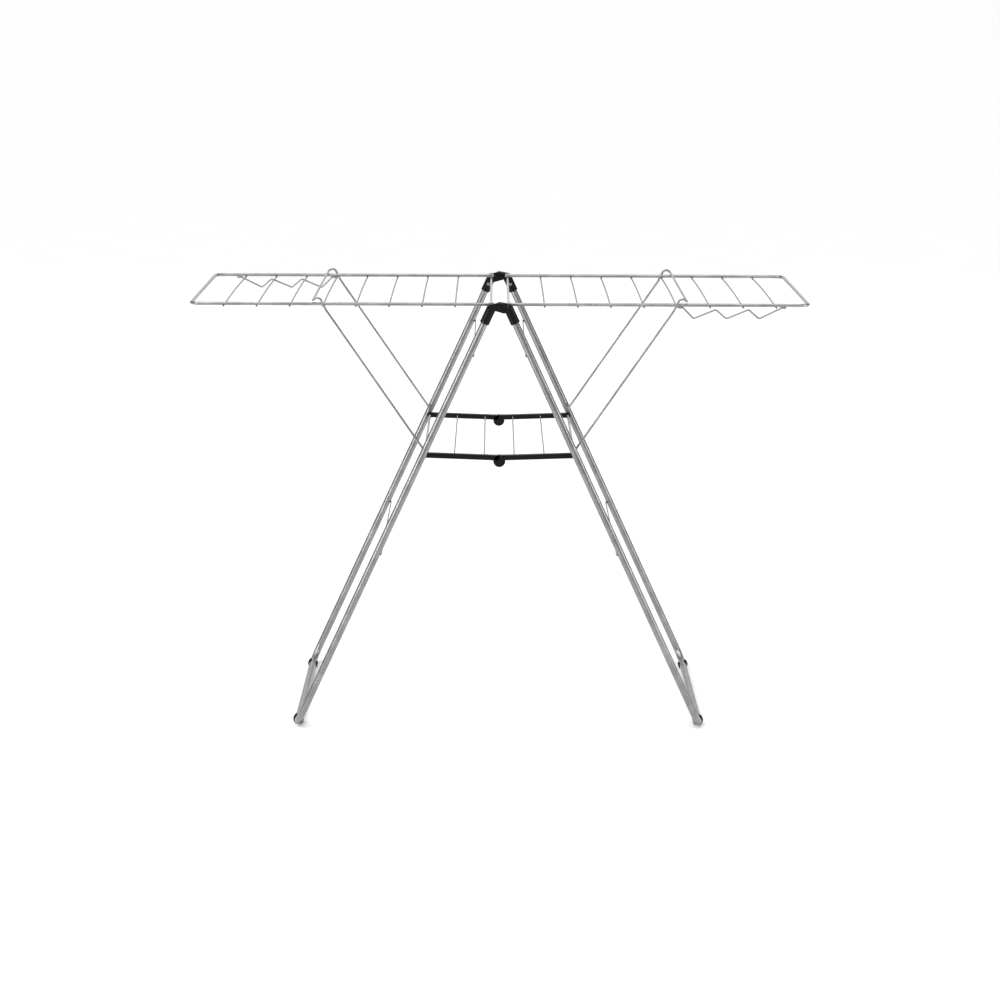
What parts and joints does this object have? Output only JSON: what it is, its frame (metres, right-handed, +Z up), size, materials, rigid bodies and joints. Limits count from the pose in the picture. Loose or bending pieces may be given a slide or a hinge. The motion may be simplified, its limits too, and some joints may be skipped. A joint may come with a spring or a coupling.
{
  "type": "clothes drying rack",
  "caption": "Free-standing folding clothes drying rack: two leg frames hinged at the top, two fold-down wings with rungs, wire struts and a folding shelf that locks the legs open.",
  "frame": {"origin": "on the floor, under the middle of the rack", "axes": "+X along the wings to the right, +Y from front to rear, +Z up"},
  "size_m": [1.5284, 0.6434, 1.1018],
  "materials": {
    "grey_tube": "satin metallic grey paint on steel tube",
    "grey_wire": "satin metallic grey paint on steel wire",
    "bright_steel": "zinc plated steel",
    "black_plastic": "black moulded plastic with a fine sheen"
  },
  "bodies": {
    "leg_left": {"leg_frame_left": "grey_tube", "leg_rung_upper_left": "grey_wire", "leg_rung_lower_left": "grey_wire", "shelf_rod_left": "bright_steel", "foot_clip_left_front": "black_plastic", "hinge_half_left_front": "black_plastic", "sleeve_screw_left_front": "bright_steel", "foot_clip_left_rear": "black_plastic", "hinge_half_left_rear": "black_plastic", "sleeve_screw_left_rear": "bright_steel", "hinge_pin_left_front": "black_plastic"},
    "leg_right": {"leg_frame_right": "grey_tube", "leg_rung_upper_right": "grey_wire", "leg_rung_lower_right": "grey_wire", "shelf_rod_right": "bright_steel", "foot_clip_right_front": "black_plastic", "hinge_half_right_front": "black_plastic", "sleeve_screw_right_front": "bright_steel", "foot_clip_right_rear": "black_plastic", "hinge_half_right_rear": "black_plastic", "sleeve_screw_right_rear": "bright_steel", "hinge_pin_right_rear": "black_plastic"},
    "shelf_left": {"shelf_bar_left_front": "black_plastic", "shelf_bar_left_rear": "black_plastic", "shelf_rung_inner_left": "grey_wire", "shelf_rung_outer_left": "grey_wire", "knuckle_pin_front": "black_plastic", "knuckle_pin_rear": "black_plastic"},
    "shelf_right": {"shelf_bar_right_front": "black_plastic", "shelf_bar_right_rear": "black_plastic", "shelf_rung_inner_right": "grey_wire", "shelf_rung_outer_right": "grey_wire"},
    "wing_left": {"wing_frame_left": "grey_tube", "wing_axle_left": "bright_steel", "hanger_wire_left": "grey_wire", "wing_rung_left_1": "grey_wire", "wing_rung_left_2": "grey_wire", "wing_rung_left_3": "grey_wire", "wing_rung_left_4": "grey_wire", "wing_rung_left_5": "grey_wire", "wing_rung_left_6": "grey_wire", "wing_rung_left_7": "grey_wire", "wing_rung_left_8": "grey_wire"},
    "wing_right": {"wing_frame_right": "grey_tube", "wing_axle_right": "bright_steel", "hanger_wire_right": "grey_wire", "wing_rung_right_1": "grey_wire", "wing_rung_right_2": "grey_wire", "wing_rung_right_3": "grey_wire", "wing_rung_right_4": "grey_wire", "wing_rung_right_5": "grey_wire", "wing_rung_right_6": "grey_wire", "wing_rung_right_7": "grey_wire", "wing_rung_right_8": "grey_wire"},
    "strut_left": {"strut_left": "grey_wire"},
    "strut_right": {"strut_right": "grey_wire"}
  },
  "joints": [
    {"name": "knuckle_fold", "type": "hinge", "parent": "shelf_left", "child": "shelf_right", "pos_m": [0, 0, 0.691], "axis": [0, 1, 0], "range_deg": [0, 179.5]},
    {"name": "leg_left_fold", "type": "hinge", "parent": "shelf_left", "child": "leg_left", "pos_m": [-0.18664, 0, 0.705], "axis": [0, 1, 0], "range_deg": [0, 65.1]},
    {"name": "leg_right_fold", "type": "hinge", "parent": "shelf_right", "child": "leg_right", "pos_m": [0.18664, 0, 0.705], "axis": [0, -1, 0], "range_deg": [0, 65.1]},
    {"name": "wing_left_fold", "type": "hinge", "parent": "leg_left", "child": "wing_left", "pos_m": [-0.0215, 0, 1.076], "axis": [0, -1, 0], "range_deg": [0, 65.3]},
    {"name": "strut_left_fold", "type": "hinge", "parent": "leg_left", "child": "strut_left", "pos_m": [-0.18617, 0, 0.71799], "axis": [0, -1, 0], "range_deg": [0, 111.7]},
    {"name": "wing_right_fold", "type": "hinge", "parent": "leg_right", "child": "wing_right", "pos_m": [0.0215, 0, 1.076], "axis": [0, 1, 0], "range_deg": [0, 65.3]},
    {"name": "strut_right_fold", "type": "hinge", "parent": "leg_right", "child": "strut_right", "pos_m": [0.18617, 0, 0.71799], "axis": [0, 1, 0], "range_deg": [0, 111.7]}
  ],
  "couplings": [
    {"joint": "leg_left_fold", "follows": "knuckle_fold", "ratio": 0.3625},
    {"joint": "leg_right_fold", "follows": "knuckle_fold", "ratio": 0.3625},
    {"joint": "strut_left_fold", "follows": "wing_left_fold", "ratio": 1.7},
    {"joint": "strut_right_fold", "follows": "wing_right_fold", "ratio": 1.7}
  ]
}
